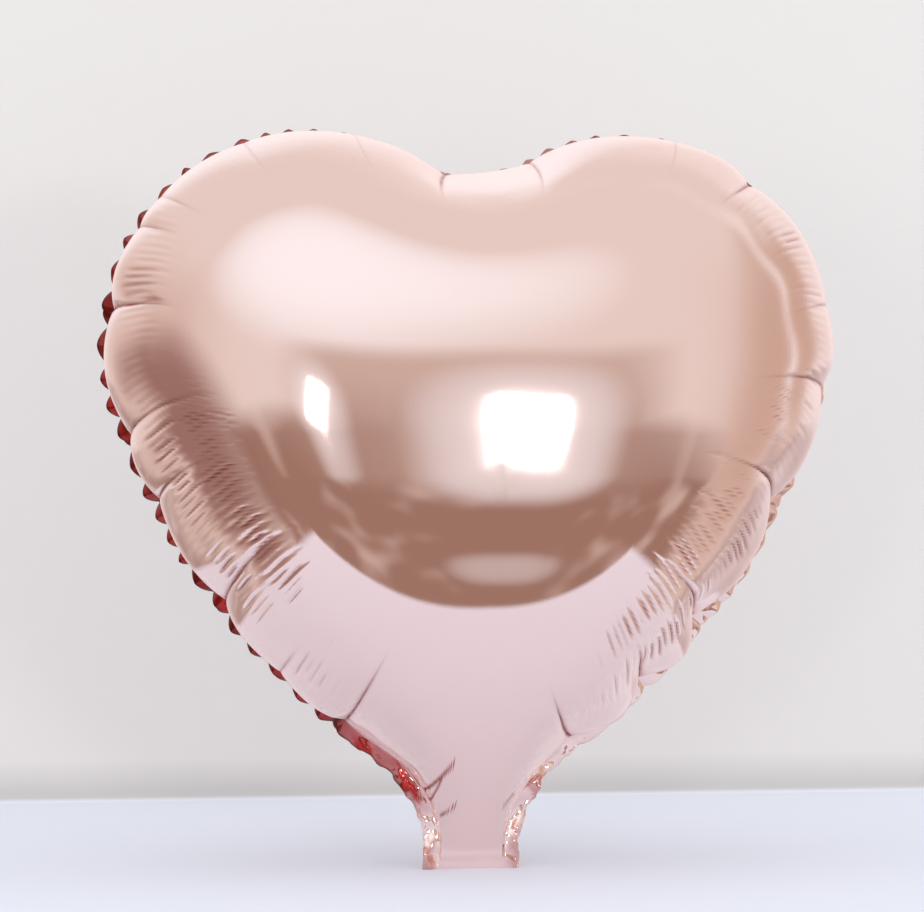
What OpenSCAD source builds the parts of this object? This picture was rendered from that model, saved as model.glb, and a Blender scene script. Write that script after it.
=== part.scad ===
// Heart-shaped foil balloon, inflated with air. Millimetres.
//
// Two metallised films are sealed face to face round their rim. Air pushes them
// apart into two domes, the rim is left too long for the heart it now encloses,
// and so it gathers: small pleats in the flat seal, and creases that divide the
// shoulder of each dome into puffs. A self-sealing valve of two thin films hangs
// inside, from the mouth of the tail.
//
// +Z is up and the front panel faces -Y. The origin is on the surface that the
// tail stands on, under the middle of its mouth.

/* [Heart outline] */
// Width across the two lobes, over the sealed rim
heart_w = 384; // [355:1:410]
// Height from the tail's mouth to the top of the lobes
heart_h = 380; // [360:1:410]
// Radius of each upper lobe
lobe_r = 112; // [104:1:118]
// Radius of the dip between the lobes
cleft_r = 62; // [30:1:70]
// Radius of the long curve down each side
flank_r = 350; // [320:5:480]
// Radius where each side turns into the tail
neck_r = 55; // [45:1:62]

/* [Tail] */
// Width of the tail, over its two side seals
tail_w = 50; // [48:1:58]
// Straight length of the tail above its mouth
tail_h = 8; // [8:1:20]

/* [Film] */
// Thickness of each metallised panel
film_t = 0.05; // [0.04:0.01:0.12]
// Width of the heat seal round the rim
seal_w = 9; // [7:0.5:11]

/* [Inflation] */
// Height of each dome above the plane of the seal
dome_h = 90; // [70:1:105]
// Fullness of the dome: a higher number is flatter in the middle and steeper at the rim
dome_power = 2.4; // [2:0.1:3.2]
// Height above the mouth at which the flat tail starts to open
flat_z = 10; // [6:1:20]
// Height above the mouth at which the dome reaches its full depth
full_z = 200; // [170:1:215]
// Height of the point that the creases run towards
centre_z = 215; // [215:1:235]

/* [Gathers] */
// Number of pleats in the sealed rim
pleats = 96; // [72:24:120]
// Number of puffs that the creases divide the shoulder into
puffs = 24; // [12:12:24]
// How far a pleat swings the rim's edge to the front and to the back
pleat_d = 2.4; // [1:0.1:3.2]
// How far a pleat swings the inner edge of the seal
seam_d = 1; // [0.5:0.1:1.4]
// Depth of a crease, from the crown of the puffs beside it
crease_d = 5; // [3:0.5:7]
// How far the shoulder swells out past the seam
swell = 4; // [2:0.5:5]
// How far in from the seam the creases are deepest
crease_in = 12; // [8:1:20]

/* [Valve] */
// Width of each valve film
valve_w = 25; // [22:1:26]
// Length of the valve films, from the mouth of the tail up into the balloon
valve_l = 150; // [90:1:180]
// Thickness of each valve film
valve_t = 0.04; // [0.03:0.01:0.08]
// Width of the seal along each long edge of the valve
valve_seal_w = 3; // [2:0.5:4]
// Corner radius of the valve's free end
valve_corner_r = 8; // [4:1:10]
// Width of the release print that keeps the channel from sealing
print_w = 15; // [12:1:16]
// Length of the release print
print_l = 30; // [20:1:45]
// Thickness of the release print
print_t = 0.02; // [0.01:0.005:0.03]
// Room between a panel and the valve film that lies against it
valve_clear = 0.1; // [0.06:0.01:0.2]
// Height of the valve's lower end above the mouth's edge
valve_inset = 1; // [0.5:0.5:3]

/* [Hidden] */
foil = [0.93, 0.72, 0.68];
clear_film = [0.88, 0.90, 0.92, 0.6];
print_ink = [0.80, 0.80, 0.78];

channel_steps = 4;                     // grid steps across half of the mouth's open channel
mouth_steps = channel_steps + 1;       // and one more across the side seal
around = 2 * pleats;                   // grid steps round the rim: one out and one back for each pleat
side_steps = pleats - mouth_steps;     // grid steps from a corner of the tail up to the cleft
rings = 8;                             // grid steps from the seam to the middle of the dome
lip = 2.5;                             // height of the first row above the mouth
pleat_fade = 70;                       // length over which the pleats die out above the tail
mouth_gap = valve_t + print_t + valve_clear;

// ---- outline: a chain of tangent arcs, from the tail's corner up to the cleft ----

half_tail = tail_w / 2;
half_channel = half_tail - seal_w;
lobe_c = [heart_w / 2 - lobe_r, heart_h - lobe_r];
neck_c = [half_tail + neck_r, tail_h];
cleft_c = [0, lobe_c.y + sqrt(pow(lobe_r + cleft_r, 2) - pow(lobe_c.x, 2))];
flank_c = circles_meet(lobe_c, flank_r - lobe_r, neck_c, flank_r + neck_r);

// The left one of the two points at distance ra from a and rb from b
function circles_meet(a, ra, b, rb) =
    let (d = norm(b - a),
         along = (ra * ra - rb * rb + d * d) / (2 * d),
         off = sqrt(ra * ra - along * along),
         u = (b - a) / d)
    a + along * u + off * [u.y, -u.x];

function heading(from, to) = atan2(to.y - from.y, to.x - from.x);

// Each arc is [centre, radius, first angle, sweep, side], with side 1 where the centre is inside the heart
neck_end = heading(flank_c, neck_c);
lobe_start = heading(flank_c, lobe_c);
lobe_end = heading(lobe_c, cleft_c);
arcs = [
    [neck_c, neck_r, 180, neck_end, -1],
    [flank_c, flank_r, neck_end, lobe_start - neck_end, 1],
    [lobe_c, lobe_r, lobe_start, lobe_end - lobe_start, 1],
    [cleft_c, cleft_r, 180 + lobe_end, 90 - lobe_end, -1],
];
function arc_length(a) = a[1] * abs(a[3]) * PI / 180;
lengths = [for (a = arcs) arc_length(a)];
side_length = tail_h + lengths[0] + lengths[1] + lengths[2] + lengths[3];

// [point, outward direction] on arc a, at length s from its start
function on_arc(a, s) =
    let (angle = a[2] + a[3] * s / arc_length(a),
         ray = [cos(angle), sin(angle)])
    [a[0] + a[1] * ray, a[4] * ray];

// [point, outward direction] on the right half of the rim, at length s above the tail's corner
function on_side(s, k = 0) =
    s <= tail_h ? [[half_tail, s], [1, 0]]
    : k == 3 || s - tail_h <= lengths[k] ? on_arc(arcs[k], min(s - tail_h, lengths[k]))
    : on_side(s - lengths[k], k + 1);

function mirrored(v) = [-v.x, v.y];

// ---- grid: column i goes round the rim from the middle of the mouth, row j inwards ----

// Columns 0 to pleats are the right half, and the rest mirror them
function half_column(i) = i <= pleats ? i : around - i;
function in_mouth(i) = half_column(i) < channel_steps;
function side_s(i) = (half_column(i) - mouth_steps) * side_length / side_steps;

// Point of the rim, moved in by the width of the seal where inset is 1
function rim_right(h, inset) =
    h < channel_steps ? [half_channel * h / channel_steps, inset * lip]
    : h == channel_steps ? [half_channel - inset * lip / 2, inset * lip]
    : h == mouth_steps && inset > 0 ? [half_channel, 2 * lip]
    : let (p = on_side((h - mouth_steps) * side_length / side_steps)) p[0] - inset * seal_w * p[1];
function rim(i, inset) =
    let (p = rim_right(half_column(i), inset))
    i <= pleats ? p : mirrored(p);

outer_rim = [for (i = [0:around - 1]) rim(i, 0)];
seam = [for (i = [0:around - 1]) rim(i, 1)];

centre = [0, centre_z];

function smooth(t) = let (c = min(1, max(0, t))) c * c * (3 - 2 * c);

// How much column i gathers: nothing on the tail, and fully from pleat_fade above it
function gather(i) = smooth((side_s(i) - tail_h) / pleat_fade);

// How far the pleats swing column i to the front or the back
function swing(i) = (i % 2 == 0 ? 1 : -1) * gather(i);

// Share of the radius left at row j of the dome
function reach(j) = 1 - pow(j / rings, 2);

// Half of the width between the seams, at a height below the middle of the dome
neck_top = flank_c.y + (flank_r - seal_w) * sin(neck_end);
function seam_x(z) =
    z < tail_h ? half_channel
    : z < neck_top ? neck_c.x - sqrt(pow(neck_r + seal_w, 2) - pow(z - neck_c.y, 2))
    : flank_c.x + sqrt(pow(flank_r - seal_w, 2) - pow(z - flank_c.y, 2));

// Depth of the dome over the heart's middle line
function middle(z) = dome_h * sin(90 * min(1, max(0, z - flat_z) / (full_z - flat_z)));

function arch(share) = sqrt(max(0, 1 - pow(share, dome_power)));

// Height of the smooth dome over a point, reached at share r of the radius
function dome(p, r) =
    max(mouth_gap, p.y > centre_z ? dome_h * arch(r) : middle(p.y) * arch(abs(p.x) / seam_x(p.y)));

// Rise of the puffs, from 0 in a crease to 1 on a crown
columns_per_puff = around / puffs;
function puff(i) = pow(sin(180 * (i % columns_per_puff) / columns_per_puff), 0.7);

// Share of the crease's depth at a distance from the seam: all of it on the shoulder
function shoulder(d) = pow(d / crease_in * exp(1 - d / crease_in), 1.5);

// The seam averaged over nine columns, so that the columns stay evenly apart towards the middle
nine = [for (k = [-4:4]) 1 / 9];
even_seam = [for (i = [0:around - 1]) nine * [for (k = [-4:4]) seam[(i + k + around) % around]]];

function plane(i, j) =
    let (even = smooth(j / 4))
    centre + ((1 - even) * seam[i] + even * even_seam[i] - centre) * reach(j);

// How far row j of column i swells out in the plane of the seal, most in the first row
function swelling(i, j) =
    let (way = outer_rim[i] - seam[i])
    swell * gather(i) * j * exp(1 - j) * way / norm(way);

// Rows -1 and 0 are the two edges of the seal, and they lie in both panels
function seal_point(i, j, side) =
    let (p = j < 0 ? outer_rim[i] : seam[i],
         d = j < 0 ? pleat_d : seam_d)
    [p.x, in_mouth(i) ? side * mouth_gap : d * swing(i), p.y];

function smooth_grid(side) = [
    for (j = [-1:rings - 1]) [
        for (i = [0:around - 1])
            j < 1 ? seal_point(i, j, side)
            : let (p = plane(i, j), q = p + swelling(i, j)) [q.x, side * dome(p, reach(j)), q.y]
    ]
];

// Outward direction at column i and row j of a grid
function outward(g, i, j, side) =
    let (next = g[j][(i + 1) % around] - g[j][(i + around - 1) % around],
         inner = g[min(j + 1, rings)][i] - g[max(j - 1, 0)][i],
         n = cross(next, inner),
         size = norm(n))
    size > 0 ? -side * n / size : [0, side, 0];

// The air side of a panel: the smooth dome, puffed up between the creases
function air_side(side) =
    let (g = smooth_grid(side))
    [
        for (j = [0:rings]) [
            for (i = [0:around - 1])
                j < 2 ? g[j][i]
                : g[j][i] + crease_d * (puff(i) - 0.6) * gather(i)
                    * shoulder(norm(seam[i] - plane(i, j - 1))) * outward(g, i, j, side)
        ]
    ];

function outer_side(g, side) = [
    for (j = [0:rings]) [
        for (i = [0:around - 1]) g[j][i] + film_t * (j < 2 ? [0, side, 0] : outward(g, i, j, side))
    ]
];

// ---- solids ----

// Closes a film between its air side and its outer side
module film(air, outside, side) {
    rows = rings + 1;
    top = dome([0, centre_z], 0);
    points = [
        for (g = [air, outside]) for (row = g) each row,
        [0, side * top, centre_z],
        [0, side * (top + film_t), centre_z],
    ];
    sheet = rows * around;
    function id(layer, j, i) = layer * sheet + j * around + i % around;
    function turned(face, flip) = flip ? [face[2], face[1], face[0]] : face;
    faces = [
        for (layer = [0, 1])
            let (flip = (layer == 0) == (side < 0))
            each [
                for (j = [0:rows - 2]) for (i = [0:around - 1]) each [
                    turned([id(layer, j, i), id(layer, j + 1, i), id(layer, j + 1, i + 1)], flip),
                    turned([id(layer, j, i), id(layer, j + 1, i + 1), id(layer, j, i + 1)], flip),
                ],
                for (i = [0:around - 1])
                    turned([id(layer, rows - 1, i), 2 * sheet + layer, id(layer, rows - 1, i + 1)], flip),
            ],
        for (i = [0:around - 1]) each [
            turned([id(0, 0, i), id(0, 0, i + 1), id(1, 0, i + 1)], side < 0),
            turned([id(0, 0, i), id(1, 0, i + 1), id(1, 0, i)], side < 0),
        ],
    ];
    polyhedron(points, faces);
}

module panel(side) {
    air = air_side(side);
    film(air, outer_side(air, side), side);
}

module front_panel() {
    color(foil) panel(-1);
}

module back_panel() {
    color(foil) panel(1);
}

// A flat strip that rises from the mouth, from y to y + t, with the free end's corners rounded
module strip(w, l, r, y, t) {
    translate([0, y + t, valve_inset]) rotate([90, 0, 0]) linear_extrude(height = t) {
        translate([-w / 2, 0]) square([w, l - r]);
        translate([-w / 2 + r, 0]) square([w - 2 * r, l]);
        for (side = [-1, 1])
            translate([side * (w / 2 - r), l - r]) circle(r = r, $fn = 48);
    }
}

// The front film carries the welded ribs along both edges, so that the channel between them stays open
module valve_front_film() {
    color(clear_film) {
        strip(valve_w, valve_l, valve_corner_r, -print_t - valve_t, valve_t);
        for (side = [-1, 1])
            translate([side * (valve_w - valve_seal_w) / 2 - valve_seal_w / 2, -print_t, valve_inset])
                cube([valve_seal_w, print_t, valve_l - valve_corner_r]);
    }
}

module valve_back_film() {
    color(clear_film) strip(valve_w, valve_l, valve_corner_r, 0, valve_t);
}

module valve_release_print() {
    color(print_ink) translate([-print_w / 2, -print_t, valve_inset]) cube([print_w, print_t, print_l]);
}

front_panel();
back_panel();
valve_front_film();
valve_back_film();
valve_release_print();
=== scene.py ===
import bpy
import math
import numpy as np
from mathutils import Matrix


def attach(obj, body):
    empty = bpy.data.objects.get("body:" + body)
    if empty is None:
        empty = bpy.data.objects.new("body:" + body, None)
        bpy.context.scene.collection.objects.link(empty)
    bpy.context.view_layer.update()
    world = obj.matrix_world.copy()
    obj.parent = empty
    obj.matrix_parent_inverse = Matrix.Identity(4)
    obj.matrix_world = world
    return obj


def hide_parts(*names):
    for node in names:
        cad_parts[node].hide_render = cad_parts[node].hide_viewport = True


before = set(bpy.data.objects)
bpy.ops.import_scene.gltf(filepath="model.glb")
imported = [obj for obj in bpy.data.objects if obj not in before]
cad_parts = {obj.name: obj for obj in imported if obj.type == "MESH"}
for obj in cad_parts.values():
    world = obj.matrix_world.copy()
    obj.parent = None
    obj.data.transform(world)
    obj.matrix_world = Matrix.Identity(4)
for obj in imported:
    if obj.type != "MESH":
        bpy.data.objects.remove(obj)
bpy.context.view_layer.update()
mm = 0.001

# Outline of the sealed rim, in millimetres: tangent arcs from the tail up to the cleft
heart = dict(
    width=384.0, height=380.0,
    lobeRadius=112.0, cleftRadius=62.0, flankRadius=350.0, neckRadius=55.0,
    tailWidth=50.0, tailHeight=8.0, sealWidth=9.0,
)

# Dome of each panel over the plane of the seal, and the channel through the tail, where the films stay apart
dome = dict(
    depth=90.0, flatBelow=10.0, fullAt=200.0, fullness=1.3, centreHeight=215.0,
    channelHalf=17.0, channelTop=60.0, channelGap=0.2, filmHalf=0.06,
)

# Grid of each panel: half of its columns are right of the middle, and mirrored on the left. The dome's rows
# start close together, and its columns spread evenly from a share of the way in
grid = dict(
    channelColumns=17, cornerColumns=5, sideColumns=886, flangeRows=6, domeRows=46,
    rowStart=0.35, lastRowGap=0.6, evenHalf=40, evenFrom=0.25, evenOver=0.55,
)


def arcsOf(h):
    # Each arc: centre, radius, first angle, sweep, and 1 where the centre is inside the heart
    lobe = np.array([h["width"] / 2 - h["lobeRadius"], h["height"] - h["lobeRadius"]])
    neck = np.array([h["tailWidth"] / 2 + h["neckRadius"], h["tailHeight"]])
    cleft = np.array([0, lobe[1] + math.sqrt((h["lobeRadius"] + h["cleftRadius"]) ** 2 - lobe[0] ** 2)])
    ra, rb = h["flankRadius"] - h["lobeRadius"], h["flankRadius"] + h["neckRadius"]
    apart = np.linalg.norm(neck - lobe)
    along = (ra * ra - rb * rb + apart * apart) / (2 * apart)
    u = (neck - lobe) / apart
    flank = lobe + along * u + math.sqrt(ra * ra - along * along) * np.array([u[1], -u[0]])
    heading = lambda a, b: math.atan2(b[1] - a[1], b[0] - a[0])
    neckEnd, lobeStart, lobeEnd = heading(flank, neck), heading(flank, lobe), heading(lobe, cleft)
    return [
        (neck, h["neckRadius"], math.pi, neckEnd, -1),
        (flank, h["flankRadius"], neckEnd, lobeStart - neckEnd, 1),
        (lobe, h["lobeRadius"], lobeStart, lobeEnd - lobeStart, 1),
        (cleft, h["cleftRadius"], math.pi + lobeEnd, math.pi / 2 - lobeEnd, -1),
    ]


def sideLength(h):
    return h["tailHeight"] + sum(abs(a[1] * a[3]) for a in arcsOf(h))


def sidePoints(s, inset, h):
    # Points of the right side at lengths s above the tail's corner, moved in by inset
    point = np.stack([np.full_like(s, h["tailWidth"] / 2 - inset), s], 1)
    start = h["tailHeight"]
    for centre, radius, first, sweep, inside in arcsOf(h):
        length = abs(radius * sweep)
        angle = first + sweep * np.clip((s - start) / length, 0, 1)
        ray = np.stack([np.cos(angle), np.sin(angle)], 1)
        here = centre + (radius - inside * inset) * ray
        point = np.where((s >= start)[:, None], here, point)
        start += length
    return point


def rimColumns(h, g):
    # Rim and seam points of every column, and each column's length along the side
    lip, half = 2.5, h["tailWidth"] / 2
    channel = half - h["sealWidth"]
    a = np.linspace(0, 1, g["channelColumns"], endpoint=False)
    b = np.linspace(0, 1, g["cornerColumns"], endpoint=False)
    s = np.linspace(0, sideLength(h), g["sideColumns"] + 1)
    outer = np.concatenate([
        np.stack([a * channel, 0 * a], 1),
        np.stack([channel + b * h["sealWidth"], 0 * b], 1),
        sidePoints(s, 0, h)])
    side = sidePoints(s, h["sealWidth"], h)
    side[:, 1] = np.maximum(side[:, 1], 3 * lip + (1 - 3 * lip / h["tailHeight"]) * s * (s < h["tailHeight"]))
    seam = np.concatenate([
        np.stack([a * channel, lip + 0 * a], 1),
        np.stack([channel + 0 * b, lip + 2 * lip * b], 1),
        side])
    lengths = np.concatenate([-half + a * channel, -h["sealWidth"] + b * h["sealWidth"], s])
    flip = lambda p: np.concatenate([p, (p * [-1, 1])[-2:0:-1]])
    return flip(outer), flip(seam), np.concatenate([lengths, lengths[-2:0:-1]])


def smooth(t):
    t = np.clip(t, 0, 1)
    return t * t * t * (t * (6 * t - 15) + 10)


def domeField(h, d):
    # A field that is 0 on the seam and has the same curvature all over, from point sources outside the heart
    s = np.linspace(0, sideLength(h), 420)
    def ring(inset):
        # The outline with its tail drawn out 60 mm below the mouth
        side = sidePoints(s, inset, h)
        half = side[0, 0]
        tail = np.stack([np.full(30, half), np.linspace(-60, -2, 30)], 1)
        below = -60.0 - (h["sealWidth"] - inset)
        floor = np.stack([np.linspace(0, half, 8, endpoint=False), np.full(8, below)], 1)
        right = np.concatenate([floor, tail, side])
        return np.concatenate([right, (right * [-1, 1])[-2:0:-1]])
    edge, sources = ring(h["sealWidth"]), ring(h["sealWidth"] - 13.0)[::2]
    centre = np.array([0, d["centreHeight"]])
    away = lambda p: np.log(((p[:, None] - sources[None]) ** 2).sum(-1)) / 2
    load = lambda p: -((p - centre) ** 2).sum(-1) / 4
    weights = np.linalg.lstsq(np.concatenate([away(edge), np.ones((len(edge), 1))], 1), -load(edge), rcond=1e-10)[0]
    return lambda p: np.concatenate([load(q) + away(q) @ weights[:-1] + weights[-1] for q in np.array_split(p, 40)])


def domeHeight(plane, h, d):
    # A fuller arch over the field's share of its middle, and the middle rises with a quarter sine
    field = domeField(h, d)
    z = np.linspace(-20, h["height"], 400)
    middle = np.maximum(field(np.stack([0 * z, z], 1)), 1.0)
    peak = z[np.argmax(middle)]
    most = np.where(z < peak, middle, middle.max())
    rise = d["depth"] * np.sin(math.pi / 2 * np.clip((z - d["flatBelow"]) / (d["fullAt"] - d["flatBelow"]), 0, 1))
    flat = plane.reshape(-1, 2)
    share = np.clip(field(flat) / np.interp(flat[:, 1], z, most), 0, 1)
    height = np.interp(flat[:, 1], z, rise) * np.sqrt(1 - (1 - share) ** d["fullness"])
    print("dome peak at", round(float(peak), 1), "largest", round(float(height.max()), 1))
    return height.reshape(plane.shape[:-1])


# Creases that pinch the shoulder: where each starts on the rim and ends on the dome, and its depth
creases = [
    (57, 59, 31, 95, 3.8), (94, 89, 75, 118, 4.2), (124, 121, 91, 155, 4.8), (165, 183, 115, 211, 4.2),
    (189, 244, 135, 250, 2.4), (190, 290, 159, 284, 1.2), (150, 356, 123, 340, 2.2), (104, 371, 94, 352, 0.4),
    (26, 366, 29, 341, 1.3), (-12, 362, -23, 336, 2.2), (-62, 374, -56, 352, 0.4), (-118, 370, -108, 350, 0.5),
    (-163, 343, -140, 330, 0.6), (-175, 327, -153, 321, 1.2), (-191, 285, -156, 284, 2.6),
    (-181, 217, -143, 241, 2.4),
    (-166, 184, -136, 211, 2.4), (-133, 132, -97, 178, 3.0), (-102, 97, -93, 116, 1.4), (-71, 69, -51, 115, 2.8),
]

# Round the rim: x and z of a place on it, then the size there of the soft valley inside the shoulder, the size
# of the fine ripples, how far in from the seam they lie, the seal's lean, how much painted deep red shade its
# leaves get, how far the shoulder covers it, and how far its leaves turn
bands = [
    (30, 20, 0, 0, 50, 10, 0.1, 0.4, 10), (57, 59, 0.2, 0.06, 55, 16, 0, 0.8, 12),
    (94, 89, 0.2, 0.34, 58, 18, 0, 1.25, 16), (124, 121, 0.2, 0.44, 62, 18, 0, 1.2, 18),
    (142, 155, 0.4, 0.40, 62, 13, 0, 0.8, 22), (165, 183, 0.6, 0.26, 60, 20, 0, 1.2, 24),
    (172, 212, 0.9, 0.10, 55, 22, 0, 1, 26), (180, 240, 1.6, 0.26, 52, 22, 0, 1, 26),
    (188, 268, 2.1, 0.16, 46, 22, 0.1, 1, 26), (190, 290, 2.2, 0.26, 44, 24, 0.3, 1, 28),
    (178, 318, 2.3, 0.28, 42, 32, 0.8, 1, 32), (163, 340, 2.2, 0.26, 42, 36, 0.8, 1, 35),
    (132, 362, 1.6, 0.05, 40, 38, 0.8, 1, 35), (80, 378, 0.8, 0, 40, 34, 0.8, 0.8, 35),
    (26, 366, 0.3, 0, 40, 48, 0.6, 0.8, 25), (0, 362, 0.3, 0, 40, 62, 0.5, 0.65, 15),
    (-26, 366, 0.3, 0, 40, 48, 0.6, 0.8, 25), (-80, 378, 0.3, 0, 40, 34, 0.8, 0.8, 38),
    (-150, 356, 0.4, 0.02, 44, 26, 0.9, 1, 45), (-177, 322, 0.5, 0.10, 42, 28, 0.9, 1, 46),
    (-189, 298, 0.4, 0.24, 42, 27, 1, 1, 47), (-191, 268, 0.2, 0, 46, 27, 0.95, 1, 47),
    (-187, 238, 0.2, 0.20, 52, 27, 1, 1, 47), (-179, 212, 0.2, 0.46, 54, 28, 1, 1, 46),
    (-166, 184, 0.2, 0.46, 54, 28, 0.95, 1, 46), (-150, 158, 0.2, 0.44, 54, 28, 1, 1, 46),
    (-133, 132, 0.2, 0.34, 54, 28, 1, 1, 46), (-110, 106, 0.2, 0.02, 50, 27, 0.95, 1, 46),
    (-96, 92, 0.2, 0.34, 46, 27, 1, 1, 46), (-76, 74, 0.2, 0.10, 50, 26, 0.95, 0.9, 40),
    (-64, 64, 0.1, 0, 50, 16, 0.8, 0.1, 14), (-44, 38, 0.1, 0, 50, 14, 0.8, 0, 10),
    (-28, 20, 0, 0, 50, 6, 0.1, 0.2, 8),
]

# Small wrinkles above the tail: x and z of both ends, depth and width
wrinkles = [
    (-14, 56, -25, 41, 0.9, 1.0), (-9, 35, -17, 28, 0.8, 0.9), (-19, 48, -22, 36, 0.7, 0.9),
    (14, 32, 19, 39, 0.6, 1.1),
    (6, 58, 7, 4, 0.3, 2.4),
    (-38, 110, 2, 80, 0.3, 3.0), (27, 92, 2, 80, 0.3, 3.0), (2, 80, 6, 58, 0.3, 2.6),
]

# Puffs between the creases, the dent of each crease, the width of its painted shade line, and the valley inside the
# shoulder
gathers = dict(
    fadeFrom=12.0, fadeIn=60.0, puffHeight=1.1, puffEnd=16.0, puffFade=46.0, overhang=5.2, overhangAt=8.0,
    backEase=0.8, backEaseTurn=75.0, foldWidth=1.3, dentWidth=8.0, shadeLineWidth=0.55, valleyAt=52.0, valleyWidth=9.0,
)

# Fine ripples: two rows of them, each with its place as a share of the band's, its half length and its size
ripples = dict(
    pitch=4.5, rows=((0.70, 11, 1.0), (1.25, 9, 1.0)), slant=0.22, depth=2.3, width=1.1, grooveShadeWidth=0.55,
    startAt=12.0, innerRowFrom=44.0,
)

# Leaves of the sealed band, how the seals are crumpled beside the tail and where they are pale, and where the painted
# leaf shade starts
leaves = dict(
    pitch=14.6, lengths=(0.65, 1.35), sizes=(0.74, 1.04), shape=1.4, crumple=2.8, crumpleTop=60.0, paleCrumple=0.9,
    redShadeFrom=14.0, redShadeOver=22.0, darkShadeFrom=75.0, darkShadeOver=20.0,
)


def triangle(x):
    return np.arcsin(0.96 * np.sin(x)) / math.asin(0.96)


def crumpled(a, b, seed):
    # Facets: triangle waves in many directions, from broad to fine, added up over a warped plane
    dice = np.random.default_rng(seed)
    a, b = a + 0.9 * np.sin(0.55 * b + 1.3) + 0.5 * np.sin(0.31 * a), b + 0.9 * np.sin(0.43 * a)
    total = 0
    for k in range(9):
        way, size, shift = dice.uniform(0, math.pi), 0.28 * 1.27 ** k, dice.uniform(0, 6.28)
        total = total + triangle((a * math.cos(way) + b * math.sin(way)) * size + shift) / (0.5 + size)
    return total / 4


def nearestColumn(seam, x, z):
    return int(np.argmin((seam[:, 0] - x) ** 2 + (seam[:, 1] - z) ** 2))


def wrinkled(plane):
    # A narrow dip along each wrinkle's line, that fades past its ends
    total = 0
    for x0, z0, x1, z1, depth, width in wrinkles:
        start, way = np.array([x0, z0]), np.array([x1 - x0, z1 - z0])
        share = np.clip(((plane - start) @ way) / (way @ way), 0, 1)
        apart = np.linalg.norm(plane - start - share[..., None] * way, axis=-1)
        total = np.maximum(total, depth * np.exp(-(apart / width) ** 2))
    return total


def creaseLines(outer, plane, inward, along, total):
    # Each crease: its place along the seam, its sideways drift for each millimetre inwards, its length and depth
    lines = []
    for x0, z0, x1, z1, depth in creases:
        start = nearestColumn(outer, x0, z0)
        row, column = np.unravel_index(np.argmin((plane[..., 0] - x1) ** 2 + (plane[..., 1] - z1) ** 2), inward.shape)
        length = max(inward[row, column], 8.0)
        drift = (along[column] - along[start] + total / 2) % total - total / 2
        lines.append((along[start], drift / length, length, depth))
    return np.array(sorted(lines))


def baseGrid(side):
    # Rows from the rim's edge over the seal and the shoulder to the middle of the dome. The columns start
    # on the seam, and further in on a running average of it
    outer, seam, length = rimColumns(heart, grid)
    centre = np.array([0, dome["centreHeight"]])
    t = np.arange(1, grid["domeRows"] + 1) / (grid["domeRows"] + grid["lastRowGap"])
    phi = math.pi / 2 * (grid["rowStart"] * t + (1 - grid["rowStart"]) * t * t)
    band = np.linspace(0, 1, grid["flangeRows"] + 1)[:, None, None]
    half = grid["evenHalf"]
    wide = np.concatenate([seam[-half:], seam, seam[:half]])
    window = np.ones(2 * half + 1) / (2 * half + 1)
    even = np.stack([np.convolve(wide[:, k], window, "valid") for k in (0, 1)], 1)
    start = seam + (even - seam) * smooth((t - grid["evenFrom"]) / grid["evenOver"])[:, None, None]
    plane = np.concatenate([outer + (seam - outer) * band, centre + (start - centre) * np.cos(phi)[:, None, None]])
    first = grid["flangeRows"] + 1
    height = np.zeros(plane.shape[:2])
    height[first:] = domeHeight(plane[first:], heart, dome)
    channel = (np.abs(plane[..., 0]) < dome["channelHalf"]) * (plane[..., 1] < dome["channelTop"])
    height = np.maximum(height, dome["channelGap"] * channel)
    return outer, seam, length, plane, np.stack([plane[..., 0], side * height, plane[..., 1]], -1)


def outwardWays(base, outer, seam, inward, side):
    # Outward direction: square to the film, turning level with the seal over the last 6 mm to the seam
    normal = np.cross(np.roll(base, -1, 1) - np.roll(base, 1, 1), np.gradient(base, axis=0))
    normal /= np.linalg.norm(normal, axis=-1, keepdims=True) + 1e-9
    normal *= np.sign((normal[-1, :, 1] * side).mean())
    radial = outer - seam
    radial /= np.linalg.norm(radial, axis=1, keepdims=True) + 1e-9
    level = np.stack([radial[:, 0], 0 * radial[:, 0], radial[:, 1]], -1)
    soft = smooth(inward / 6)[..., None]
    normal = normal * soft + level * (1 - soft)
    normal /= np.linalg.norm(normal, axis=-1, keepdims=True)
    return normal, level


def puffsAndCreases(lines, along, deep, total):
    # Between two creases the shoulder is an arch, sharp at the rim and softer on the dome. Each crease is a
    # narrow fold with a wide dent, both falling off exponentially to its sides, and a line of painted shade
    softening = 0.04 + 0.7 * smooth(deep / 55)
    crown = np.ones(deep.shape)
    fold = np.zeros(deep.shape)
    creaseShade = np.zeros(deep.shape)
    for k in range(len(lines)):
        at, drift, reach, depth = lines[k]
        nextAt, nextDrift, nextReach, nextDepth = lines[(k + 1) % len(lines)]
        shift = drift * np.minimum(deep, reach)
        here = (along - at - shift + total / 2) % total - total / 2
        after = (nextAt - at) % total + nextDrift * np.minimum(deep, nextReach) - shift
        share = (here % total) / after
        between = np.clip(share, 0, 1)
        arch = np.sqrt(np.sin(math.pi * between) ** 2 + softening ** 2) - softening
        dip = (depth + (nextDepth - depth) * between) ** 1.5 / 5
        crown = np.where(share < 1, 1 - dip * (1 - arch), crown)
        fade = smooth(deep / 5) * (1 - smooth((deep - 0.35 * reach) / (0.75 * reach)))
        aside = np.abs(here)
        dent = 0.42 * np.exp(-aside / gathers["foldWidth"])
        dent += 0.4 * np.exp(-aside / (gathers["dentWidth"] * (0.5 + deep / 40)))
        fold += depth * dent * np.maximum(fade, 0.5 * (deep <= 5) * (1 - deep / 10))
        # A line of painted shade along the crease's bottom
        creaseShade += depth / 3 * fade * np.exp(-aside / gathers["shadeLineWidth"])
    return crown, fold, creaseShade


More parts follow.
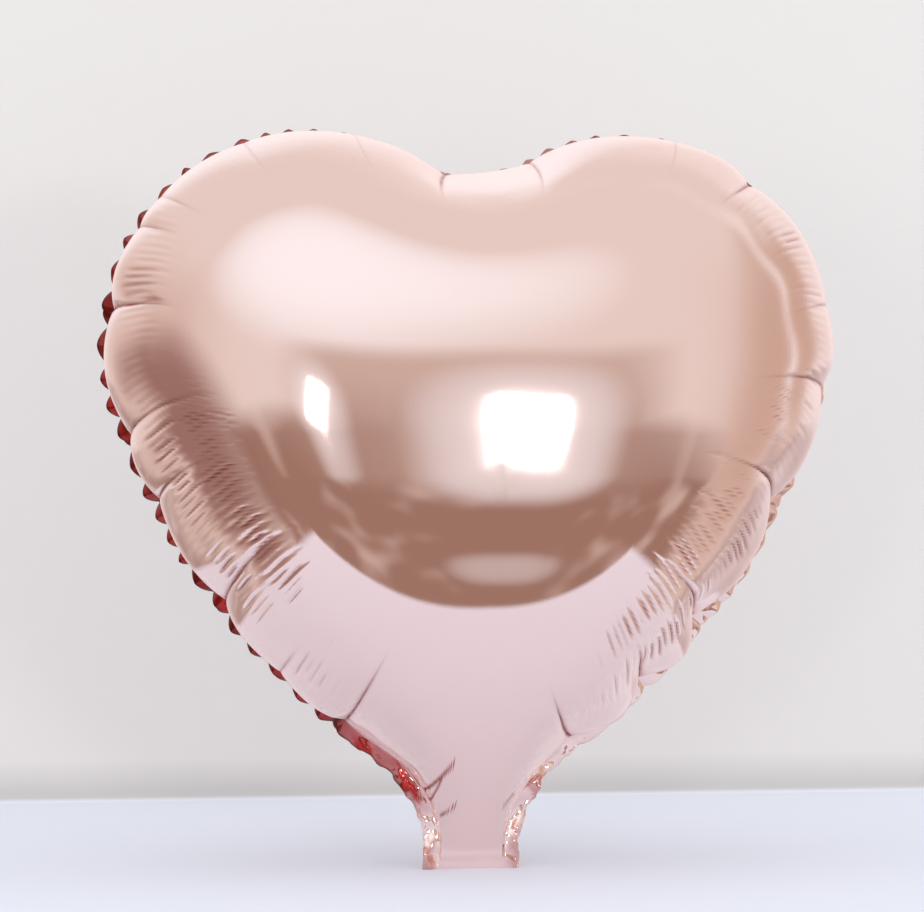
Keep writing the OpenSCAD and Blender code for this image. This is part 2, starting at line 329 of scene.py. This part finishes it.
def ripplePatches(place, deep, at, size, dice):
    # Each row has a groove of a Gaussian profile every few millimetres, with ends, size and place a little
    # different from the next one's. The second value is the painted shade along its bottom
    ripple = np.zeros(deep.shape)
    grooveShade = np.zeros(deep.shape)
    for row, (share, half, rowSize) in enumerate(ripples["rows"]):
        step = place / ripples["pitch"] + 0.4 * row
        start, span, high, aside = dice.uniform(-1, 1, (4, int(step.max()) + 2))[:, step.astype(int)]
        patch = np.exp(-(np.abs(deep - at * share - 3 * start) / (half + 4 * span)) ** 4)
        off = (step % 1 - 0.5 - 0.12 * aside) * ripples["pitch"]
        deepness = rowSize * size * patch * (0.75 + 0.4 * high) * smooth((deep - ripples["startAt"]) / 10)
        if row:
            deepness = deepness * np.clip((at - ripples["innerRowFrom"]) / 6, 0, 1)
        ripple -= ripples["depth"] * deepness * np.exp(-(off / ripples["width"]) ** 2)
        # Painted shade along the bottom of each groove
        grooveShade += np.clip(3.2 * deepness - 0.4, 0, 0.95) * np.exp(-(off / ripples["grooveShadeWidth"]) ** 2)
    return ripple, grooveShade


def panelGrid(side):
    # The smooth panel, moved outwards by puffs and inwards by creases, valley, ripples and wrinkles,
    # with its sealed band turned back leaf by leaf
    outer, seam, length, plane, base = baseGrid(side)

    # Distance over the film from the seam, and distance along the seam
    steps = np.linalg.norm(np.diff(base, axis=0), axis=-1)
    inward = np.concatenate([np.zeros((1, len(outer))), np.cumsum(steps, 0)])
    inward = inward - inward[grid["flangeRows"]]
    deep = np.maximum(inward, 0)
    out = -np.minimum(inward, 0)
    seamStep = np.linalg.norm(np.roll(seam, -1, 0) - seam, axis=1)
    along = np.concatenate([[0], np.cumsum(seamStep)[:-1]])
    total = seamStep.sum()
    normal, level = outwardWays(base, outer, seam, inward, side)

    # What the bands say at each column
    where = np.array([along[nearestColumn(outer, b[0], b[1])] for b in bands])
    order = np.argsort(where)
    around = lambda k: np.interp(along, where[order], np.array([b[k] for b in bands])[order], period=total)
    valleySize, rippleSize, rippleAt, lean, leafRedShade, cover, leafTurn = [around(k) for k in range(2, 9)]

    # The shoulder stands out over the seal, less on the back, to which the seal leans
    gather = smooth((length - gathers["fadeFrom"]) / gathers["fadeIn"])
    lines = creaseLines(outer, plane, inward, along, total)
    crown, fold, creaseShade = puffsAndCreases(lines, along, deep, total)
    puff = gathers["puffHeight"] * 2 * (crown - 0.6) * (0.35 + 0.65 * smooth(deep / 12))
    puff = puff * (1 - smooth((deep - gathers["puffEnd"]) / gathers["puffFade"]))
    over = gathers["overhang"] * deep / gathers["overhangAt"] * np.exp(1 - deep / gathers["overhangAt"])
    over = over * (0.6 + 0.5 * crown) * cover
    if side > 0:
        over = over * (1 - gathers["backEase"] * np.clip((lean + leafTurn) / gathers["backEaseTurn"], 0, 1))
    valleyPlace = gathers["valleyAt"] + 2 * np.sin(along / 7)
    valley = valleySize * np.exp(-((deep - valleyPlace) / gathers["valleyWidth"]) ** 2)

    # Ripples run in from the rim, slanting more the further they are from the middle
    dice = np.random.default_rng(11)
    seamWay = np.roll(seam, -1, 0) - np.roll(seam, 1, 0)
    seamWay /= np.linalg.norm(seamWay, axis=1, keepdims=True)
    place = along + ((plane - seam) * seamWay).sum(-1)
    place = place - ripples["slant"] * deep * np.clip(seam[:, 0] / 60, -1, 1)
    ripple, grooveShade = ripplePatches(place, deep, rippleAt, rippleSize, dice)
    move = (puff + over - fold - valley + ripple) * gather + 0.3 * over * (1 - gather)
    dips = wrinkled(plane)
    move -= dips * smooth(deep / 2)
    point = base + normal * move[..., None]

    # Pleats: leaves of uneven length, widest in the middle and turning further back towards their ends
    many = int(round(total / leaves["pitch"]))
    spans = dice.uniform(*leaves["lengths"], many)
    phase = np.interp(along, np.concatenate([[0], np.cumsum(spans)]) * total / spans.sum(), np.arange(many + 1))
    leafNumber, down = phase.astype(int) % many, phase % 1
    petal = (1 - np.abs(2 * down - 1) ** leaves["shape"]) * dice.uniform(*leaves["sizes"], many)[leafNumber]
    turn = np.radians(lean + leafTurn * (1 - petal)) * gather
    point += level * (np.cos(turn) - 1)[:, None] * out[..., None]
    point[..., 1] += np.sin(turn) * out + 0.5 * (2 * petal - 1) * gather * np.exp(-deep / 4)

    # The seals are crumpled beside the tail, and a little where the leaves are pale
    tail = (1 - smooth((length - leaves["crumpleTop"]) / 30)) * smooth((length + 9) / 8)
    loose = np.where(inward < 0, np.clip(out / 5, 0, 1), np.exp(-deep / 5) * np.clip(deep / 2, 0, 1))
    crush = leaves["crumple"] * tail * loose
    across = along + 0 * deep
    facets = crumpled(0.6 * across, 0.8 * inward, 3)
    point[..., 1] += crush * facets
    point += level * (0.5 * crush * crumpled(0.7 * across, inward, 5))[..., None]
    pale = gather * np.clip(1 - 4 * leafRedShade, 0, 1) * np.clip(out / 4, 0, 1)
    point[..., 1] += leaves["paleCrumple"] * pale * crumpled(0.6 * across, 0.6 * inward, 8)
    point[..., 2] = np.maximum(point[..., 2], 0)
    point[..., 1] += side * dome["filmHalf"]

    # Painted shade: the seal's leaves get a painted deep red, some darker than others, with painted dark ends and a
    # painted dark edge. So do the bottoms of creases, ripples and wrinkles
    leafDarkShade = np.maximum(np.exp(-down / 0.12), 0.9 * np.exp((down - 1) / 0.10)) + dice.uniform(0, 0.5, many)[leafNumber]
    leafDarkShade = leafDarkShade * smooth((length - leaves["darkShadeFrom"]) / leaves["darkShadeOver"])
    leafShadeShare = leafRedShade * smooth((length - leaves["redShadeFrom"]) / leaves["redShadeOver"]) * np.clip(out / 1.2, 0, 1)
    redShade = leafShadeShare + np.clip(creaseShade + 0.9 * grooveShade, 0, 1) * gather
    # Painted shade in the bottoms of the wrinkles and in the hollows between the tail's crumpled facets
    redShade += np.clip(2.4 * (dips - 0.34), 0, 0.8) * smooth(deep / 2)
    redShade += tail * loose * np.clip(-1.6 * facets - 0.3, 0, 0.45)
    # Painted dark shade on each leaf's outer edge and ends, and in the bottoms of creases, ripples and wrinkles
    edge = leafShadeShare * np.clip(np.maximum(smooth((out - 7.9) / 1.0), leafDarkShade), 0, 1)
    edge = np.maximum(edge, gather * np.maximum(0.75 * np.clip(creaseShade, 0, 1), 0.5 * grooveShade))
    edge = np.maximum(edge, np.clip(1.2 * (dips - 0.5), 0, 0.5) * smooth(deep / 2))
    return point, inward, along, np.clip(redShade, 0, 1), edge


def addPiece(name, vertices, faces, uv=None):
    # Puts whole arrays of points and quads or triangles into a new mesh
    mesh = bpy.data.meshes.new(name)
    mesh.from_pydata(vertices.tolist(), [], faces)
    if uv is not None:
        layer = mesh.uv_layers.new(name="film")
        corner = np.empty(len(mesh.loops), dtype=np.int32)
        mesh.loops.foreach_get("vertex_index", corner)
        layer.data.foreach_set("uv", uv[corner].astype(np.float32).ravel())
    mesh.polygons.foreach_set("use_smooth", [True] * len(mesh.polygons))
    mesh.update()
    piece = bpy.data.objects.new(name, mesh)
    bpy.context.scene.collection.objects.link(piece)
    return piece


def ringFaces(rows, count, flip):
    # Quads between neighbouring rows of a grid that closes on itself, and a fan to the last point
    j, i = np.meshgrid(np.arange(rows - 1), np.arange(count), indexing="ij")
    k = (i + 1) % count
    quads = np.stack([j * count + i, (j + 1) * count + i, (j + 1) * count + k, j * count + k], -1).reshape(-1, 4)
    i = np.arange(count)
    fan = np.stack([(rows - 1) * count + i, np.full(count, rows * count), (rows - 1) * count + (i + 1) % count], -1)
    if flip:
        quads, fan = quads[:, ::-1], fan[:, ::-1]
    return quads.tolist() + fan.tolist()


def makePanel(name, side):
    point, inward, along, redShade, edge = panelGrid(side)
    rows, count = point.shape[:2]
    # The film's cut edge closes the rim
    closing = point[0] - [0, 2 * side * dome["filmHalf"], 0]
    grown = np.concatenate([closing[None], point])
    top = grown[-1].mean(0)
    vertices = np.concatenate([grown.reshape(-1, 3), top[None]]) * mm
    inward = np.concatenate([inward[:1], inward])
    uv = np.stack([np.broadcast_to(along, inward.shape), inward], -1).reshape(-1, 2)
    uv = np.concatenate([uv, [[0, inward.max()]]]) * mm
    piece = addPiece(name, vertices, ringFaces(rows + 1, count, side < 0), uv)
    for label, value in (("paintedRedShade", redShade), ("paintedDarkShade", edge)):
        values = np.concatenate([value[:1].ravel(), value.ravel(), [0]])
        piece.data.attributes.new(label, "FLOAT", "POINT").data.foreach_set("value", values.astype(np.float32))
    print(piece.name, "made with", len(piece.data.polygons), "faces")
    return piece


frontFilm = makePanel("frontFilm", -1)
backFilm = makePanel("backFilm", 1)
for piece, node in ((frontFilm, "front_panel"), (backFilm, "back_panel")):
    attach(piece, "root")
    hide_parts(node)


def nodeTools(tree):
    # Short ways to add nodes: a value or link into a socket, a sum, a smooth ramp and a mix of two colours
    nodes, links = tree.nodes, tree.links

    def put(socket, value):
        if isinstance(value, bpy.types.NodeSocket):
            links.new(value, socket)
        else:
            socket.default_value = (*value, 1) if isinstance(value, tuple) else value

    def calc(operation, *values):
        node = nodes.new("ShaderNodeMath")
        node.operation = operation
        for socket, value in zip(node.inputs, values):
            put(socket, value)
        return node.outputs[0]

    def ramp(value, low, high, most=1.0, kind="SMOOTHSTEP"):
        # 0 at low and the largest value at high, whichever of them is higher
        node = nodes.new("ShaderNodeMapRange")
        node.interpolation_type = kind
        put(node.inputs["Value"], value)
        put(node.inputs["From Min"], low)
        put(node.inputs["From Max"], high)
        put(node.inputs["To Max"], most)
        return node.outputs["Result"]

    def blend(a, b, factor):
        node = nodes.new("ShaderNodeMix")
        node.data_type = "RGBA"
        put(node.inputs["A"], a)
        put(node.inputs["B"], b)
        put(node.inputs["Factor"], factor)
        return node.outputs["Result"]

    return put, calc, ramp, blend


def mixShaders(tree, first, second, factor):
    # The material's surface: the first shader, and the second where the factor is 1
    node = tree.nodes.new("ShaderNodeMixShader")
    for socket, value in zip(node.inputs, (factor, first, second)):
        tree.links.new(value, socket)
    tree.links.new(node.outputs["Shader"], tree.nodes["Material Output"].inputs["Surface"])


# Rose film: a bright metal coat, with painted deep red shade on the seal's leaves and painted dark shade in their
# folds
foilLook = dict(
    color=(0.94, 0.735, 0.70), redShadeColor=(0.46, 0.045, 0.04), darkShadeColor=(0.05, 0.012, 0.015), roughness=0.055,
    paleFrom=0.35, paleTo=0.88, paleShare=0.75,
)


def makeFoil(look):
    material = bpy.data.materials.new("roseFoil")
    material.use_nodes = True
    tree = material.node_tree
    put, _, ramp, blend = nodeTools(tree)
    tone = look["color"]
    # Painted shade: the two attributes mix the coat towards deep red and near black
    for label, color in (("paintedRedShade", look["redShadeColor"]), ("paintedDarkShade", look["darkShadeColor"])):
        amount = tree.nodes.new("ShaderNodeAttribute")
        amount.attribute_name = label
        tone = blend(tone, color, amount.outputs["Fac"])
    shader = tree.nodes["Principled BSDF"]
    put(shader.inputs["Base Color"], tone)
    put(shader.inputs["Metallic"], 1.0)
    put(shader.inputs["Roughness"], look["roughness"])
    # Seen at a low angle the film takes on the pale light of the wall behind
    pale = tree.nodes.new("ShaderNodeBsdfDiffuse")
    put(pale.inputs["Color"], tone)
    facing = tree.nodes.new("ShaderNodeLayerWeight").outputs["Facing"]
    amount = ramp(facing, look["paleFrom"], look["paleTo"], look["paleShare"])
    mixShaders(tree, shader.outputs["BSDF"], pale.outputs["BSDF"], amount)
    return material


foil = makeFoil(foilLook)
for piece in (frontFilm, backFilm):
    piece.data.materials.append(foil)

# The stage: a pale table that turns up into a pale wall behind, seen only from its front. The reach is how far
# the table goes in the film's reflections, and the shade is painted shade on the wall's foot
stage = dict(
    tableColor=(0.79, 0.82, 0.91), wallColor=(0.745, 0.71, 0.685), roughness=0.8, shine=0.2,
    wallAt=0.40, bend=0.006, half=2.6, wallFrom=(0.0005, 0.003),
    reachX=0.27, reachEdgeX=0.03, reachY=0.215, reachBend=1.1, reachEdgeY=0.015, reachUp=(0.005, 0.01),
    shadeColor=(0.36, 0.35, 0.36), shadeFrom=(0.026, 0.002), shade=0.5,
)


def makeBackdrop(s):
    # Profile: flat to the wall, a quarter circle, then straight up
    turn = np.linspace(0, math.pi / 2, 9)
    y = np.concatenate([[-s["half"], -0.5, 0], s["wallAt"] - s["bend"] + s["bend"] * np.sin(turn), [s["wallAt"]] * 2])
    z = np.concatenate([[0, 0, 0], s["bend"] - s["bend"] * np.cos(turn), [0.6, 2.4]])
    x = np.linspace(-s["half"], s["half"], 9)
    points = np.stack(np.broadcast_arrays(x[None, :], y[:, None], z[:, None]), -1).reshape(-1, 3)
    j, i = np.meshgrid(np.arange(len(y) - 1), np.arange(len(x) - 1), indexing="ij")
    a = (j * len(x) + i).ravel()
    backdrop = addPiece("backdrop", points, np.stack([a, a + 1, a + len(x) + 1, a + len(x)], -1).tolist())
    material = bpy.data.materials.new("paleStage")
    material.use_nodes = True
    tree = material.node_tree
    put, calc, ramp, blend = nodeTools(tree)
    place = tree.nodes.new("ShaderNodeTexCoord").outputs["Object"]
    height = tree.nodes.new("ShaderNodeSeparateXYZ")
    put(height.inputs[0], place)
    height = height.outputs["Z"]
    isWall = ramp(height, *s["wallFrom"], kind="LINEAR")
    tone = blend(s["tableColor"], s["wallColor"], isWall)
    # Painted shade: the wall is a little darker just above the table
    footShade = ramp(height, *s["shadeFrom"], s["shade"], "LINEAR")
    tone = blend(tone, s["shadeColor"], calc("MULTIPLY", footShade, isWall))
    shader = tree.nodes["Principled BSDF"]
    put(shader.inputs["Base Color"], tone)
    put(shader.inputs["Roughness"], s["roughness"])
    put(shader.inputs["Specular IOR Level"], s["shine"])
    # In the film's reflections only the near part of the table is there, and the room shows past it
    flat = tree.nodes.new("ShaderNodeVectorMath")
    flat.operation = "ABSOLUTE"
    put(flat.inputs[0], place)
    apart = tree.nodes.new("ShaderNodeSeparateXYZ")
    put(apart.inputs[0], flat.outputs["Vector"])
    aside, ahead, up = apart.outputs
    past = ramp(aside, s["reachX"], s["reachX"] + s["reachEdgeX"])
    edge = calc("MULTIPLY_ADD", calc("POWER", aside, 2.0), s["reachBend"], s["reachY"])
    past = calc("MAXIMUM", past, ramp(calc("SUBTRACT", ahead, edge), 0.0, s["reachEdgeY"]))
    past = calc("MAXIMUM", past, ramp(up, *s["reachUp"]))
    glossy = tree.nodes.new("ShaderNodeLightPath").outputs["Is Glossy Ray"]
    # Seen from behind, the backdrop lets the view through
    clear = tree.nodes.new("ShaderNodeBsdfTransparent")
    behind = tree.nodes.new("ShaderNodeNewGeometry").outputs["Backfacing"]
    seeThrough = calc("MAXIMUM", calc("MULTIPLY", past, glossy), behind)
    mixShaders(tree, shader.outputs["BSDF"], clear.outputs["BSDF"], seeThrough)
    backdrop.data.materials.append(material)
    return backdrop


backdrop = makeBackdrop(stage)
print("stage made")

# The room that the film reflects: a pale ceiling with a bright patch, tan side walls, and a dim far end. Turn
# is in degrees, 0 straight in front of the balloon, and lift is 0 level. A spot is its turn, lift, half width
# and half height. A range is where a tone begins and where it is full
room = dict(
    light=(1.20, 1.22, 1.24), ceiling=(0.84, 0.79, 0.75),
    side=(0.72, 0.60, 0.54), sideTurn=(38, 80), sideLift=(44, 12),
    dimTop=(0.64, 0.53, 0.47), dimLow=(0.36, 0.23, 0.18), dimLift=(12, -12), dimEdge=(14, -6), dimUpper=(17, 11),
    dimTurn=5.0, dimHalf=24.0, dimSpread=2.6, dimMost=60.0,
    mottleScale=5.0, mottle=(0.48, 0.8), frontOnly=(0.46, 0.08),
)

# Spots in the room: colour, place and strength
spots = dict(
    bright=((1.06, 1.15, 1.20), (-16, 40, 50, 34), 1.0),
    glowRight=((0.86, 0.88, 0.90), (13, 1, 17, 13), 0.9),
    glowLeft=((0.86, 0.88, 0.90), (-20, 1, 9, 11), 0.8),
    glowLow=((0.86, 0.88, 0.90), (12, -31, 11, 6), 0.45),
    dimLeft=((0.30, 0.165, 0.14), (-84, -16, 42, 34), 0.9),
    tanRight=((0.62, 0.46, 0.37), (92, 6, 40, 44), 0.8),
)


def makeRoom(r, spots):
    world = bpy.data.worlds.new("room")
    bpy.context.scene.world = world
    world.use_nodes = True
    nodes = world.node_tree.nodes
    put, calc, ramp, blend = nodeTools(world.node_tree)
    way = nodes.new("ShaderNodeTexCoord").outputs["Generated"]
    split = nodes.new("ShaderNodeSeparateXYZ")
    put(split.inputs[0], way)
    x, y, z = split.outputs
    # The back of the room mirrors the front
    degrees = math.degrees(1)
    turn = calc("MULTIPLY", calc("ARCTAN2", x, calc("ABSOLUTE", y)), degrees)
    lift = calc("MULTIPLY", calc("ARCSINE", z), degrees)

    def addSpot(color, name, share=None):
        # The spot's strength is full at its middle, and 0 beyond its half width and half height
        tone, at, strength = spots[name]
        across = calc("POWER", calc("DIVIDE", calc("SUBTRACT", turn, float(at[0])), float(at[2])), 2.0)
        upward = calc("POWER", calc("DIVIDE", calc("SUBTRACT", lift, float(at[1])), float(at[3])), 2.0)
        amount = ramp(calc("ADD", across, upward), 1.0, 0.0, strength)
        return blend(color, tone, calc("MULTIPLY", amount, share) if share else amount)

    isSide = calc("MULTIPLY", ramp(calc("ABSOLUTE", turn), *r["sideTurn"]), ramp(lift, *r["sideLift"]))
    color = addSpot(blend(r["ceiling"], r["side"], isSide), "bright")
    # The dim far end is wider lower down
    below = calc("MAXIMUM", calc("MULTIPLY", lift, -1.0), 0.0)
    reach = calc("MINIMUM", calc("ADD", r["dimHalf"], calc("MULTIPLY", r["dimSpread"], below)), r["dimMost"])
    beyond = calc("SUBTRACT", calc("ABSOLUTE", calc("SUBTRACT", turn, r["dimTurn"])), reach)
    isDim = calc("MULTIPLY", ramp(beyond, *r["dimEdge"]), ramp(lift, *r["dimUpper"]))
    # It is mottled, as furniture would make it
    noise = nodes.new("ShaderNodeTexNoise")
    put(noise.inputs["Scale"], r["mottleScale"])
    put(noise.inputs["Detail"], 1.0)
    put(noise.inputs["Vector"], way)
    low = blend(r["dimLow"], r["dimTop"], ramp(noise.outputs["Fac"], *r["mottle"]))
    color = blend(color, blend(r["dimTop"], low, ramp(lift, *r["dimLift"])), isDim)
    for name in ("glowRight", "glowLeft", "glowLow"):
        color = addSpot(color, name)
    color = addSpot(color, "dimLeft", ramp(y, *r["frontOnly"]))
    color = addSpot(color, "tanRight")
    glossy = nodes.new("ShaderNodeLightPath").outputs["Is Glossy Ray"]
    put(nodes["Background"].inputs["Color"], blend(r["light"], color, glossy))


def turnTo(thing, place, target):
    from mathutils import Vector
    thing.location = place
    thing.rotation_euler = (Vector(target) - Vector(place)).to_track_quat("-Z", "Y").to_euler()


def addLamp(name, place, size, power, roll, target=(0.0, 0.0, 0.2)):
    # A rectangular window that faces the balloon, rolled about its own axis
    data = bpy.data.lights.new(name, "AREA")
    data.shape = "RECTANGLE"
    data.size, data.size_y = size
    data.energy = power
    lamp = bpy.data.objects.new(name, data)
    bpy.context.scene.collection.objects.link(lamp)
    turnTo(lamp, place, target)
    lamp.rotation_euler.rotate_axis("Z", math.radians(roll))


makeRoom(room, spots)
addLamp("windowRight", (0.53, -2.4, 0.34), (0.33, 0.19), 5, 0)
addLamp("windowLeft", (-0.95, -2.4, 0.27), (0.19, 0.42), 4, -19)
print("room and lamps made")

# The camera stands a little to the balloon's left, at about half its height
view = dict(place=(-0.266, -1.679, 0.19), target=(-0.005, 0.0, 0.211), lens=129.2)
cameraData = bpy.data.cameras.new("camera")
cameraData.lens = view["lens"]
camera = bpy.data.objects.new("camera", cameraData)
bpy.context.scene.collection.objects.link(camera)
turnTo(camera, view["place"], view["target"])
bpy.context.scene.camera = camera
bpy.context.scene.view_settings.view_transform = "Standard"
